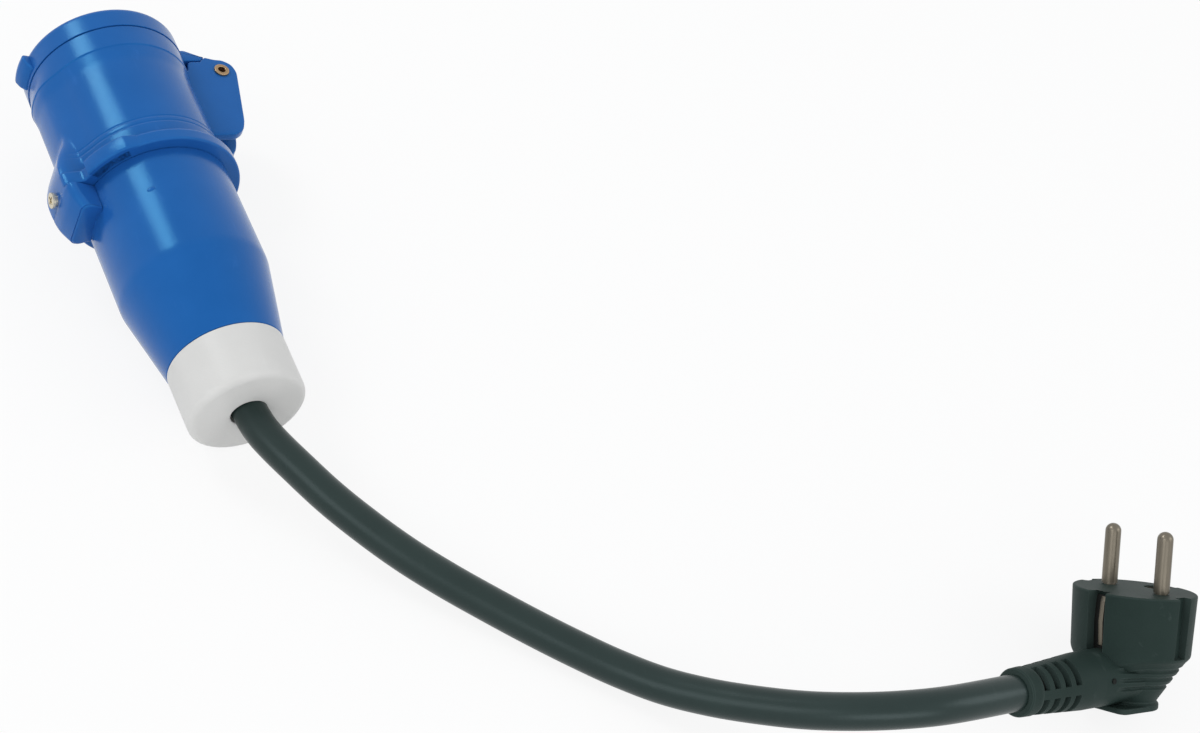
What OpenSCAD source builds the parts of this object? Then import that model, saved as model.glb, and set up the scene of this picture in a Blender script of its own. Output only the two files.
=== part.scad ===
// Power adapter lead: a round three-pole coupler with a sprung lid, a short stiff rubber cord and a moulded
// angled plug with two round pins. Millimetres, +Z up, the coupler lies on the floor and the cord and the
// plug lie behind it. The coupler is drawn along its own axis, from the back of its gland nut to its lid.

/* [Grip] */
// outside diameter of the straight part of the grip
handle_d = 48; // [47:0.5:49]
// length of the grip from its shoulder to the front shell
handle_l = 66; // [64:0.5:70]
// length of the tapered part of the grip
cone_l = 28; // [26:0.5:30]
// wall of the grip
handle_wall = 2.5; // [2:0.1:2.8]
// outside diameter of the gland nut at its front
nut_d = 37.2; // [36.6:0.2:38]
// length of the gland nut
nut_l = 20.5; // [19.5:0.5:21.5]

/* [Front shell] */
// length of the shell from the grip to its rim
shell_l = 52.4; // [51:0.2:56]
// how far the collar stands out from the grip
collar_step = 1; // [1:0.1:1.5]
// how far the band, where the shell meets the grip, stands out from the grip
band_step = 3.9; // [3.5:0.1:4.5]
// width of the band
band_w = 4.6; // [4:0.2:5.4]
// how far the screw lug stands out from the grip
lug_step = 9.3; // [8.5:0.1:10]
// angle that the keyway rib and the lug cover
rib_angle = 34; // [30:1:38]

/* [Lid] */
// height of the lid above the rim
lid_t = 8; // [7.5:0.1:9]
// distance from the collar to the hinge pin
hinge_out = 13.3; // [12.5:0.1:15]
// diameter of the hollow hinge pin
hinge_pin_d = 3.5; // [3.3:0.1:3.8]
// gap between the lid and the pieces it swings past
swing = 0.3; // [0.2:0.05:0.4]

/* [Contacts] */
// diameter of the insulating insert
insert_d = 36; // [35.4:0.1:36.2]
// radius of the circle that the contacts stand on
contact_circle = 9.5; // [9.2:0.1:10]
// diameter of the line and neutral pins that fit the contacts
line_pin_d = 5; // [4.8:0.1:5.2]
// diameter of the earth pin that fits the contact
earth_pin_d = 7; // [6.8:0.1:7.2]
// gap between pieces that slide together and stay fixed
fit = 0.2; // [0.15:0.01:0.25]

/* [Cord] */
// diameter of the rubber cord
cord_d = 10.8; // [10.4:0.1:11]
// diameter of an insulated core
core_d = 3.4; // [3.2:0.1:3.6]

/* [Plug] */
// diameter of the plug at its face
plug_d = 37; // [36.4:0.2:37.6]
// depth of the plug behind its face
plug_l = 36; // [35:0.5:37]
// diameter of the plug pins
pin_d = 4.8; // [4.6:0.1:5]
// length of the plug pins beyond the face
pin_l = 19; // [18:0.5:20]
// distance between the plug pins
pin_gap = 19; // [18.5:0.25:19.5]
// distance from the plug's axis to the end of its cord boot
boot_l = 53; // [51:0.5:55]

/* [Hidden] */
$fn = 64;

// stations along the coupler's axis
z_shoulder = nut_l + 0.3;
z_cone = z_shoulder + cone_l;
z_seat = z_shoulder + handle_l;
z_spigot = z_seat + 9.5;
z_stop = z_spigot + 3;
z_socket = z_stop + 2.2;
z_rim = z_seat + shell_l;
z_lid = z_rim + swing;
z_front = z_lid + lid_t;
z_lip = z_rim - 8.2;
z_screw = z_seat + 2;
z_clamp = z_cone + 5.2;
z_sheath = z_clamp + 12;
z_terminal = z_seat - 2.8;
z_hinge = z_rim - 2.1;
nut_floor = 2.8;
washer_t = 2;
z_neck = 6;
z_seal = 16;

// radii of the coupler
handle_r = handle_d / 2;
cavity_r = handle_r - handle_wall;
nut_wall = 3.1;
neck_r = nut_d / 2 - nut_wall - fit;
seal_r = cord_d / 2 + 4.4;
spigot_r = handle_r - 0.6;
socket_r = spigot_r + fit;
collar_r = handle_r + collar_step;
collar_bore = collar_r - 2.2;
lip_r = collar_r + 0.5;
skirt_out = collar_r + 1.2;
band_r = handle_r + band_step;
lug_r = handle_r + lug_step;
hinge_r = collar_r + hinge_out;
rib_r = collar_r + 1.9;
insert_r = insert_d / 2;
hole_r = cord_d / 2 + 1;
eye_r = 5.4;
pin_r = hinge_pin_d / 2;
arm_w = 7;
web_w = 16;
ear_w = 3;
line_r = line_pin_d / 2 + 0.02;
earth_r = earth_pin_d / 2 + 0.02;
line_tube = line_r + 0.6;
earth_tube = earth_r + 0.6;
head_r = 4.6;
terminal_up = 4;
terminal_screw_r = 1.55;
terminal_head_r = 2.2;
terminal_head_t = 1.3;
slot_w = 0.7;
clamp_w = 30;
clamp_l = 8;
clamp_t = 6.5;
clamp_x = 11;
clamp_screw_l = 17;
clamp_screw_r = 1.55;
clamp_head_r = 3;
clamp_head_t = 1.8;

// the coupler rests on the corner of its tapered grip and on its band, with its hinge to the right
edge_round = 1.5;
nut_back_r = nut_d / 2 - 0.1;
screw_head_r = 2.5;
screw_head_t = 0.7;
pitch = atan((band_r - handle_r) / (z_seat - z_cone));
rest_h = (handle_r - z_cone * tan(pitch)) * cos(pitch);
hinge_roll = 9;
ear_reach = hinge_r * cos(hinge_roll) + eye_r + (arm_w / 2 + swing + ear_w) * sin(hinge_roll);
lug_reach = (lug_r + screw_head_t) * cos(hinge_roll) + screw_head_r * sin(hinge_roll);
coupler_x = (lug_reach - ear_reach) / 2;
coupler_y = -(z_front * cos(pitch) + (skirt_out - nut_back_r) * sin(pitch)) / 2;

// the plug stands on the edge of its base ridge
plug_turn = [-21, -40.5, -79.5];
base_r = 9.5;
base_in = 4.5;
plug_up = cos(plug_turn[0]) * cos(plug_turn[1]);
plug_at = [coupler_x + 227.2, coupler_y - 154.1, plug_l * plug_up + base_r * sqrt(1 - plug_up * plug_up)];
boot_root = [0, -12, 10 - plug_l];
boot_end = [0, -boot_l, 8.3 - plug_l];
boot_len = norm(boot_end - boot_root);
boot_drop = atan((boot_root[2] - boot_end[2]) / (boot_l - 12));
boot_in = 26;
z_skirt = -19;
skirt_r = plug_d / 2 - 0.7;
shank_r = pin_d / 2 - 0.4;
clip_w = 5;
clip_in = 3.6;

// a point of the coupler's own frame, and of the plug's, in the shared frame
function turn_x(p, a) = [p[0], p[1] * cos(a) - p[2] * sin(a), p[1] * sin(a) + p[2] * cos(a)];
function turn_y(p, a) = [p[0] * cos(a) + p[2] * sin(a), p[1], p[2] * cos(a) - p[0] * sin(a)];
function turn_z(p, a) = [p[0] * cos(a) - p[1] * sin(a), p[0] * sin(a) + p[1] * cos(a), p[2]];
function from_coupler(p) = [coupler_x, coupler_y, rest_h] + turn_x(turn_z(p, hinge_roll), pitch - 90);
function from_plug(p) = plug_at + turn_z(turn_y(turn_x(p, plug_turn[0]), plug_turn[1]), plug_turn[2]);

// points that the cord passes between the nut and the boot, counted from the nut, heights from the floor
cord_bends = [[1.5, -6.5, 18.1], [3.5, -12.7, 17.4], [6.8, -20.6, 16.4], [13, -33.6, 14.2],
    [20.2, -45.7, 11.9], [28.1, -57.2, 9.6], [36.7, -68.2, 7.7], [45.7, -79.1, 6.3], [54.5, -90, 5.6],
    [63.3, -101, 5.6], [72.4, -111.8, 5.9], [81.4, -122.6, 8], [90.7, -132.6, 11.8], [100.2, -141.8, 16.5],
    [110, -150.2, 21.3], [120.7, -157.3, 25.6], [132.8, -163, 28.6], [146.9, -167, 29.7]];
cord_points = concat(
    [for (z = [z_sheath, 30, 14, 6]) from_coupler([0, 0, z])],
    [from_coupler([0, 0, 0]) + [0.5, 0, 0]],
    [for (p = cord_bends) [coupler_x + p[0], coupler_y + p[1], p[2]]],
    [from_plug(boot_end), from_plug(boot_end + (boot_root - boot_end) * boot_in / boot_len)]);

// a round tube through points: one ring of corners at each point, square to the path there
function unit(v) = v / norm(v);
function heading(p, i) = unit(p[min(i + 1, len(p) - 1)] - p[max(i - 1, 0)]);
function ring(p, i, r, up, n) =
    let (t = heading(p, i), s = unit(cross(t, up)), u = cross(s, t))
    [for (k = [0 : n - 1]) p[i] + r * (cos(360 * k / n) * s + sin(360 * k / n) * u)];

module tube(p, r, up, n) {
    m = len(p);
    corners = [for (i = [0 : m - 1]) each ring(p, i, r, up, n)];
    sides = [for (i = [0 : m - 2]) for (k = [0 : n - 1])
        [i * n + k, i * n + (k + 1) % n, (i + 1) * n + (k + 1) % n, (i + 1) * n + k]];
    start = [for (k = [0 : n - 1]) n - 1 - k];
    end = [for (k = [0 : n - 1]) (m - 1) * n + k];
    polyhedron(points = corners, faces = concat(sides, [start], [end]), convexity = 8);
}

module on_coupler() {
    translate([coupler_x, coupler_y, rest_h])
        rotate([pitch - 90, 0, 0])
            rotate([0, 0, hinge_roll])
                children();
}

module on_plug() {
    translate(plug_at)
        rotate(plug_turn)
            children();
}

// a cylinder that points outwards from the axis, between two radii, at an angle and a height
module radial(angle, z, from_r, to_r, r) {
    rotate([0, 0, angle])
        translate([from_r, 0, z])
            rotate([0, 90, 0])
                cylinder(r = r, h = to_r - from_r);
}

// a profile drawn in radius and height, turned through part of a circle
module sector(middle, angle) {
    rotate([0, 0, middle - angle / 2])
        rotate_extrude(angle = angle)
            children();
}

// a flat shape drawn in x and z, as a plate between two values of y
module plate(y0, y1) {
    translate([0, y1, 0])
        rotate([90, 0, 0])
            linear_extrude(height = y1 - y0)
                children();
}

// Coupler pieces

module ear_outline() {
    polygon([[collar_r - 2, z_hinge - 29.7], [hinge_r - 5.5, z_hinge - 29.7], [hinge_r - 2.2, z_hinge - 28],
        [hinge_r + 0.1, z_hinge - 23.8], [hinge_r + eye_r, z_hinge], [hinge_r, z_hinge + eye_r],
        [hinge_r - 3.6, z_hinge + 6.1], [hinge_r - 5.2, z_hinge + 4.7], [hinge_r - 10.7, z_hinge + 4.7],
        [collar_r + 1.2, z_hinge - 0.5], [collar_r - 2, z_hinge - 0.5]]);
    translate([hinge_r, z_hinge])
        circle(r = eye_r);
}

module front_shell() {
    ear_y = arm_w / 2 + swing;
    color([0.13, 0.36, 0.66])
    on_coupler()
    difference() {
        union() {
            rotate_extrude()
                polygon([[socket_r, z_seat], [socket_r, z_stop], [collar_bore, z_stop], [collar_bore, z_rim],
                    [lip_r, z_rim], [lip_r, z_lip], [collar_r, z_lip], [collar_r, z_seat + 13],
                    [collar_r - 0.4, z_seat + 12.8], [collar_r, z_seat + 12.4], [collar_r, z_seat + 11],
                    [collar_r - 0.4, z_seat + 10.8], [collar_r, z_seat + 10.4], [collar_r, z_seat + band_w],
                    [band_r, z_seat + band_w], [band_r, z_seat]]);
            sector(180, rib_angle)
                polygon([[handle_r + fit, z_seat - 9.8], [lug_r - 3, z_seat - 9.8],
                    [lug_r - 0.6, z_seat - 3.5], [lug_r, z_seat + 2], [lug_r - 0.3, z_seat + 8],
                    [lug_r - 2.6, z_seat + 14], [rib_r + 0.1, z_seat + 20.2], [rib_r, z_rim - 3.7],
                    [collar_r - 0.5, z_rim - 3.7], [collar_r - 0.5, z_seat], [handle_r + fit, z_seat]]);
            sector(-133, 38)
                polygon([[collar_r - 0.5, z_seat], [band_r + 1, z_seat], [band_r + 1, z_seat + 5.5],
                    [collar_r - 0.5, z_seat + 5.5]]);
            plate(ear_y, ear_y + ear_w)
                ear_outline();
            plate(-ear_y - ear_w, -ear_y)
                ear_outline();
        }
        translate([-rib_r + 2, -3.2, z_socket])
            cube([6, 6.4, z_rim - z_socket + 1]);
        radial(180, z_screw, handle_r - 3, lug_r + 1, 1.95);
        translate([hinge_r, ear_y + ear_w + 1, z_hinge])
            rotate([90, 0, 0])
                cylinder(r = pin_r + 0.05, h = 2 * (ear_y + ear_w + 1));
    }
}

module lid() {
    skirt_r = skirt_out;
    color([0.13, 0.36, 0.66])
    on_coupler()
    difference() {
        union() {
            rotate_extrude() {
                translate([0, z_front - 2.5])
                    square([skirt_r - 3, 2.5]);
                translate([gasket_in - 0.1, gasket_top])
                    square([skirt_r - gasket_in + 0.1, z_front - 3 - gasket_top]);
                translate([skirt_r - 3, z_front - 3])
                    intersection() {
                        circle(r = 3);
                        square([3, 3]);
                    }
                translate([gasket_in - 0.1, z_front - 3])
                    square([skirt_r - 3 - gasket_in + 0.1, 1]);
                translate([gasket_out + 0.1, z_lid])
                    square([skirt_r - gasket_out - 0.1, gasket_top - z_lid + 0.1]);
            }
            sector(182, 23)
                polygon([[skirt_r - 0.8, z_lid + 1.2], [skirt_r + 1.6, z_lid + 1.2],
                    [skirt_r + 2.6, z_lid + 2.4], [skirt_r + 2.6, z_front - 2],
                    [skirt_r + 1.2, z_front - 0.6], [skirt_r - 2.2, z_front - 0.6],
                    [skirt_r - 2.2, z_front - 2.4]]);
            plate(-web_w / 2, web_w / 2)
                polygon([[skirt_r - 2.2, gasket_top + 0.3], [hinge_r - 5.9, gasket_top + 0.3],
                    [skirt_r + 0.8, z_front - 0.1], [skirt_r - 2.2, z_front - 0.1]]);
            plate(-arm_w / 2, arm_w / 2) {
                polygon([[skirt_r - 2.2, gasket_top + 0.2], [skirt_r - 0.6, gasket_top + 0.2],
                    [skirt_r + 0.2, z_lid + 0.6], [hinge_r - 5.5, z_hinge - 0.4], [hinge_r, z_hinge - 4],
                    [hinge_r, z_hinge + 4], [hinge_r - 7, z_front - 1.4], [skirt_r - 2.2, z_front - 1]]);
                translate([hinge_r, z_hinge])
                    circle(r = 4);
            }
        }
        translate([hinge_r - 4.8, 1.6 - arm_w / 2, z_hinge - 6])
            cube([12, arm_w - 3.2, 16]);
        translate([hinge_r, arm_w, z_hinge])
            rotate([90, 0, 0])
                cylinder(r = pin_r + swing, h = 2 * arm_w);
    }
}

gasket_in = collar_bore - 0.4;
gasket_out = skirt_out - 1;
gasket_top = z_lid + 2.5;

module lid_gasket() {
    color([0.07, 0.07, 0.07])
    on_coupler()
    rotate_extrude()
        translate([gasket_in, z_rim + 0.1])
            square([gasket_out - gasket_in, gasket_top - z_rim - 0.1]);
}

module hinge_pin() {
    half = arm_w / 2 + swing + ear_w;
    color([0.72, 0.56, 0.27])
    on_coupler()
    translate([hinge_r, 0, z_hinge])
        rotate([90, 0, 0])
            rotate_extrude()
                polygon([[pin_r - 0.45, -half - 0.8], [pin_r + 0.8, -half - 0.8], [pin_r + 1.05, -half - 0.5],
                    [pin_r + 1.05, -half], [pin_r, -half], [pin_r, half], [pin_r + 1.05, half],
                    [pin_r + 1.05, half + 0.5], [pin_r + 0.8, half + 0.8], [pin_r - 0.45, half + 0.8]]);
}

module hinge_spring() {
    wire = 0.7;
    coil = pin_r + 1.05;
    turns = 3;
    steps = 14;
    coil_w = arm_w - 4.2;
    at = [hinge_r, 0, z_hinge];
    path = concat(
        [at + [lip_r + swing + 0.3 - hinge_r, -coil_w / 2, -coil]],
        [for (i = [0 : turns * steps + steps / 2])
            let (a = -90 - 360 * i / steps)
            at + [coil * cos(a), coil_w * (i / (turns * steps + steps / 2) - 0.5), coil * sin(a)]],
        [at + [-2.8, coil_w / 2, coil]]);
    color([0.75, 0.75, 0.77])
    on_coupler()
    tube(path, wire / 2, [0, 1, 0], 8);
}

// a third of the insulating insert, with the hole that one contact stands in
module insert_third(angle, tube_r) {
    color([0.16, 0.17, 0.18])
    on_coupler()
    difference() {
        sector(angle, 120)
            polygon([[0, z_spigot], [socket_r - fit, z_spigot], [socket_r - fit, z_stop], [insert_r, z_stop],
                [insert_r, z_rim - 6.2], [0, z_rim - 6.2]]);
        rotate([0, 0, angle])
            translate([contact_circle, 0, z_spigot - 1])
                cylinder(r = tube_r + fit, h = z_rim);
    }
}

module insert_line() {
    insert_third(60, line_tube);
}

module insert_neutral() {
    insert_third(-60, line_tube);
}

module insert_earth() {
    insert_third(180, earth_tube);
}

// a contact sleeve with a slit, on a terminal head with a core hole and a screw hole
module contact(angle, bore, tube_r) {
    top = z_rim - 9.6;
    color([0.78, 0.62, 0.3])
    on_coupler()
    rotate([0, 0, angle])
        difference() {
            translate([contact_circle, 0, 0]) {
                translate([0, 0, z_terminal])
                    cylinder(r = head_r, h = z_spigot - z_terminal);
                translate([0, 0, z_spigot - 1])
                    cylinder(r = tube_r, h = top - z_spigot + 1);
            }
            translate([contact_circle, 0, top - 24])
                cylinder(r = bore, h = 25);
            translate([contact_circle - 0.4, -6, top - 16])
                cube([0.8, 12, 17]);
            translate([contact_circle, 0, z_terminal - 1])
                cylinder(r = core_d / 2 + fit, h = 9);
            translate([0, 0, z_terminal + terminal_up])
                rotate([0, 90, 0])
                    cylinder(r = terminal_screw_r + 0.05, h = contact_circle + 2 * head_r);
        }
}

module line_contact() {
    contact(60, line_r, line_tube);
}

module neutral_contact() {
    contact(-60, line_r, line_tube);
}

module earth_contact() {
    contact(180, earth_r, earth_tube);
}

module terminal_screws() {
    color([0.75, 0.75, 0.77])
    on_coupler()
    for (a = [60, -60, 180]) {
        radial(a, z_terminal + terminal_up, contact_circle + core_d / 2 + fit, contact_circle + head_r + 0.6,
            terminal_screw_r);
        difference() {
            radial(a, z_terminal + terminal_up, contact_circle + head_r,
                contact_circle + head_r + terminal_head_t, terminal_head_r);
            rotate([0, 0, a])
                translate([contact_circle + head_r + terminal_head_t / 2, -slot_w / 2, z_terminal])
                    cube([terminal_head_t, slot_w, 2 * terminal_up]);
        }
    }
}

module handle() {
    color([0.13, 0.36, 0.66])
    on_coupler()
    difference() {
        union() {
            rotate_extrude()
                polygon([[neck_r, z_neck], [neck_r, z_shoulder], [nut_d / 2, z_shoulder], [handle_r, z_cone],
                    [handle_r, z_seat], [spigot_r, z_seat], [spigot_r, z_spigot], [cavity_r, z_spigot],
                    [cavity_r, z_cone], [nut_d / 2 - handle_wall, z_shoulder + 3], [hole_r, z_shoulder + 3],
                    [hole_r, z_seal], [seal_r + fit, z_seal], [seal_r + fit, z_neck]]);
            intersection() {
                translate([-clamp_w / 2, -handle_r, z_clamp])
                    cube([clamp_w, handle_r - 1, clamp_l]);
                cylinder(r = cavity_r + 0.5, h = z_seat);
            }
            translate([-cavity_r - 0.5, -4, z_screw - 5])
                cube([cavity_r + 0.5 - 16.3, 8, 10]);
        }
        translate([0, 0, z_clamp - 1])
            cylinder(r = cord_d / 2 + fit, h = clamp_l + 2);
        for (x = [-clamp_x, clamp_x])
            translate([x, 0, z_clamp + clamp_l / 2])
                rotate([90, 0, 0])
                    cylinder(r = clamp_screw_r + 0.05, h = clamp_screw_l - 6);
        radial(180, z_screw, 15, handle_r + 1, 1.8);
    }
}

module shell_screw() {
    color([0.78, 0.66, 0.36])
    on_coupler()
    difference() {
        union() {
            radial(180, z_screw, 16.5, lug_r + 0.5, 1.75);
            radial(180, z_screw, lug_r, lug_r + screw_head_t, screw_head_r);
        }
        for (turned = [0, 90])
            translate([-lug_r - 0.2, 0, z_screw])
                rotate([turned, 0, 0])
                    translate([-1.5, -1.6, -0.35])
                        cube([1.5, 3.2, slot_w]);
    }
}

module cord_clamp() {
    color([0.16, 0.17, 0.18])
    on_coupler()
    difference() {
        translate([-clamp_w / 2, 1, z_clamp])
            cube([clamp_w, clamp_t, clamp_l]);
        translate([0, 0, z_clamp - 1])
            cylinder(r = cord_d / 2 + fit, h = clamp_l + 2);
        for (x = [-clamp_x, clamp_x])
            translate([x, clamp_t + 1.5, z_clamp + clamp_l / 2])
                rotate([90, 0, 0])
                    cylinder(r = clamp_screw_r + 0.35, h = clamp_t + 1.5);
    }
}

module clamp_screws() {
    color([0.75, 0.75, 0.77])
    on_coupler()
    for (x = [-clamp_x, clamp_x])
        translate([x, clamp_t + 1, z_clamp + clamp_l / 2])
            rotate([-90, 0, 0])
                difference() {
                    union() {
                        translate([0, 0, 0.5 - clamp_screw_l])
                            cylinder(r = clamp_screw_r, h = clamp_screw_l);
                        cylinder(r = clamp_head_r, h = clamp_head_t);
                    }
                    translate([-clamp_head_r, -slot_w / 2, clamp_head_t / 2])
                        cube([2 * clamp_head_r, slot_w, clamp_head_t]);
                }
}

module gland_seal() {
    color([0.08, 0.08, 0.08])
    on_coupler()
    rotate_extrude()
        translate([cord_d / 2 + fit, nut_floor + washer_t])
            square([seal_r - cord_d / 2 - fit, z_seal - nut_floor - washer_t]);
}

module gland_washer() {
    color([0.85, 0.85, 0.84])
    on_coupler()
    rotate_extrude()
        translate([hole_r, nut_floor])
            square([seal_r - hole_r, washer_t]);
}

module gland_nut() {
    color([0.92, 0.91, 0.89])
    on_coupler()
    rotate_extrude()
        polygon([[hole_r, 0], [nut_back_r - 1.6, 0], [nut_back_r - 0.6, 0.4], [nut_back_r, edge_round],
            [nut_d / 2, nut_l], [neck_r + fit, nut_l], [neck_r + fit, nut_floor], [hole_r, nut_floor]]);
}

// an insulated core from the end of the sheath to a terminal
module core(angle) {
    fan = [[2.4, 0], [2.4, 0.08], [3, 0.25], [5.8, 0.5], [8.8, 0.75], [contact_circle, 0.92]];
    drop = z_terminal - z_sheath;
    path = concat(
        [for (p = fan) [p[0] * cos(angle), p[0] * sin(angle), z_sheath + p[1] * drop]],
        [[contact_circle * cos(angle), contact_circle * sin(angle), z_terminal + 7]]);
    on_coupler()
    tube(path, core_d / 2, [sin(angle), -cos(angle), 0], 10);
}

module line_core() {
    color([0.38, 0.22, 0.12])
    core(60);
}

module neutral_core() {
    color([0.15, 0.3, 0.65])
    core(-60);
}

module earth_core() {
    color([0.55, 0.65, 0.12])
    core(180);
}

// Cord and plug pieces

module cable() {
    color([0.06, 0.065, 0.06])
    tube(cord_points, cord_d / 2, [0, 0, 1], 12);
}

module on_boot() {
    translate(boot_root)
        rotate([90 + boot_drop, 0, 0])
            children();
}

module plug_body() {
    slots = [for (i = [0 : 3]) boot_len - 6.2 - 4.4 * i];
    color([0.06, 0.065, 0.06])
    on_plug()
    difference() {
        union() {
            rotate_extrude()
                polygon([[0, 0], [plug_d / 2 - 1, 0], [plug_d / 2, -1], [skirt_r, z_skirt],
                    [skirt_r - 1.5, z_skirt - 1.5], [base_r - 1, 2.4 - plug_l], [base_r, 1.8 - plug_l],
                    [base_r, -plug_l], [0, -plug_l]]);
            on_boot()
                rotate_extrude()
                    polygon([[0, -9], [8.9, -9], [8.7, boot_len - 27], [7.1, boot_len - 4.6],
                        [7.3, boot_len - 4.2], [7.1, boot_len - 0.6], [6.5, boot_len], [0, boot_len]]);
            translate([0, -base_in, -plug_l])
                cylinder(r = base_r - 0.05, h = 1.8);
            translate([0.1 - base_r, -base_in, -plug_l])
                cube([2 * base_r - 0.2, base_in, 1.8]);
            translate([0, 0, 2 - plug_l])
                linear_extrude(height = 6)
                    polygon([[-8.4, -25], [8.4, -25], [10.2, -4], [-10.2, -4]]);
            translate([0, 0, 7.5 - plug_l])
                linear_extrude(height = 8)
                    polygon([[-8.4, -25], [8.4, -25], [13, -4], [-13, -4]]);
            for (side = [0, 180])
                rotate([0, 0, side])
                    for (i = [0 : 3])
                        translate([skirt_r - 4.1 - 1.25 * i, -6, z_skirt - 3.6 - 2.2 * i])
                            cube([1.2, 12, 1.1]);
        }
        on_boot()
            translate([0, 0, boot_len - boot_in])
                cylinder(r = cord_d / 2 + fit, h = boot_in + 1);
        on_boot()
            for (z = slots)
                for (a = [45 : 90 : 315])
                    translate([0, 0, z])
                        rotate([0, 0, a - 34])
                            rotate_extrude(angle = 68)
                                translate([cord_d / 2 + 0.1, -1.2])
                                    square([6, 2.4]);
        for (x = [-pin_gap / 2, pin_gap / 2])
            translate([x, 0, -11])
                cylinder(r = shank_r + 0.05, h = 12);
        for (side = [0, 180])
            rotate([0, 0, side]) {
                translate([skirt_r - 1.9, -2.6, z_skirt + 0.6])
                    cube([4, 5.2, 25]);
                translate([-clip_w / 2 - 0.4, skirt_r - clip_in, z_skirt + 1.2])
                    cube([clip_w + 0.8, clip_in + 2, 25]);
            }
        translate([0, 10, -17])
            cylinder(r = pin_d / 2 + 0.9, h = 18);
    }
}

module plug_pin(x) {
    color([0.78, 0.77, 0.74])
    on_plug()
    translate([x, 0, 0])
        rotate_extrude()
            polygon([[0, -11], [shank_r, -11], [shank_r, 0.5], [pin_d / 2, 0.5], [pin_d / 2, pin_l - 1.6],
                [pin_d / 2 - 0.35, pin_l - 0.8], [pin_d / 2 - 1, pin_l - 0.2], [pin_d / 2 - 1.6, pin_l],
                [0, pin_l]]);
}

module plug_pin_left() {
    plug_pin(-pin_gap / 2);
}

module plug_pin_right() {
    plug_pin(pin_gap / 2);
}

// a sprung earth strip that lies in its recess in the side of the plug and bows outwards
module earth_clip(side) {
    inner = skirt_r - clip_in;
    color([0.78, 0.77, 0.74])
    on_plug()
    rotate([0, 0, side])
        translate([-clip_w / 2, 0, 0])
            rotate([90, 0, 90])
                linear_extrude(height = clip_w)
                    polygon([[inner, z_skirt + 1.2], [inner + 0.6, z_skirt + 1.2], [inner + 1.2, -9],
                        [inner + 0.9, -3], [inner + 0.6, -1], [inner, -1], [inner + 0.3, -3],
                        [inner + 0.6, -9]]);
}

module earth_clip_front() {
    earth_clip(180);
}

module earth_clip_back() {
    earth_clip(0);
}

module earth_socket() {
    color([0.78, 0.77, 0.74])
    on_plug()
    translate([0, 10, 0])
        difference() {
            translate([0, 0, -17])
                cylinder(r = pin_d / 2 + 0.85, h = 16.6);
            translate([0, 0, -16])
                cylinder(r = pin_d / 2 + 0.05, h = 17);
        }
}

front_shell();
lid();
lid_gasket();
hinge_pin();
hinge_spring();
insert_line();
insert_neutral();
insert_earth();
line_contact();
neutral_contact();
earth_contact();
terminal_screws();
handle();
shell_screw();
cord_clamp();
clamp_screws();
gland_seal();
gland_washer();
gland_nut();
line_core();
neutral_core();
earth_core();
cable();
plug_body();
plug_pin_left();
plug_pin_right();
earth_clip_front();
earth_clip_back();
earth_socket();
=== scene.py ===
import math

import bmesh
import bpy
import numpy as np
from mathutils import Matrix


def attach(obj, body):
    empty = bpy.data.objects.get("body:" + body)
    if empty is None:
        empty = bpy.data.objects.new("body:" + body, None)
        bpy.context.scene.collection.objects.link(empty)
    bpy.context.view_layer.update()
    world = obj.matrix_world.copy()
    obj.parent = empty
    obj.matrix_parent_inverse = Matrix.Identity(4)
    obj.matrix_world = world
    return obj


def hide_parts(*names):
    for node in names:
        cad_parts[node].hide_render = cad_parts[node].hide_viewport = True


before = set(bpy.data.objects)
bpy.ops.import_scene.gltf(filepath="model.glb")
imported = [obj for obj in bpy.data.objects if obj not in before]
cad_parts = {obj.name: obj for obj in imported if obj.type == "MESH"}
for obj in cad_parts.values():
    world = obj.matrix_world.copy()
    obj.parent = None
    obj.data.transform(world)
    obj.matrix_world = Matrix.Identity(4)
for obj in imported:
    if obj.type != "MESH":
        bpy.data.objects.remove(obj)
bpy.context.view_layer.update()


# Camera, floor and light
# A hand-held view from above and behind the coupler, rolled a little, through a 54 mm lens on a 36 mm frame.
# The lead lies on a white table under one soft lamp behind it and three broad fills.

camera_at = (-0.157814, -0.397804, 0.435535)
camera_right = (0.86472, -0.45288, 0.21717)
camera_up = (0.2077, 0.71612, 0.66636)
camera_back = (-0.4573, -0.53111, 0.7133)

camera = bpy.data.objects.new("camera", bpy.data.cameras.new("camera"))
bpy.context.scene.collection.objects.link(camera)
camera.data.lens = 54
camera.data.sensor_width = 36
camera.data.sensor_fit = "HORIZONTAL"
camera.data.clip_start = 0.01
camera.matrix_world = Matrix(
    [[camera_right[i], camera_up[i], camera_back[i], camera_at[i]] for i in range(3)] + [[0, 0, 0, 1]]
)
bpy.context.scene.camera = camera
bpy.context.scene.view_settings.view_transform = "Standard"


def soft_lamp(name, at, towards, size, power):
    """A rectangular lamp at one point that faces another; size is its width and height in metres."""
    lamp = bpy.data.lights.new(name, "AREA")
    lamp.shape = "RECTANGLE"
    lamp.size, lamp.size_y = size
    lamp.energy = power
    obj = bpy.data.objects.new(name, lamp)
    back = np.array(at, float) - np.array(towards, float)
    back /= np.linalg.norm(back)
    right = np.cross([0, 0, 1], back)
    right /= np.linalg.norm(right)
    up = np.cross(back, right)
    obj.matrix_world = Matrix([[right[i], up[i], back[i], at[i]] for i in range(3)] + [[0, 0, 0, 1]])
    bpy.context.scene.collection.objects.link(obj)
    return obj


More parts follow.
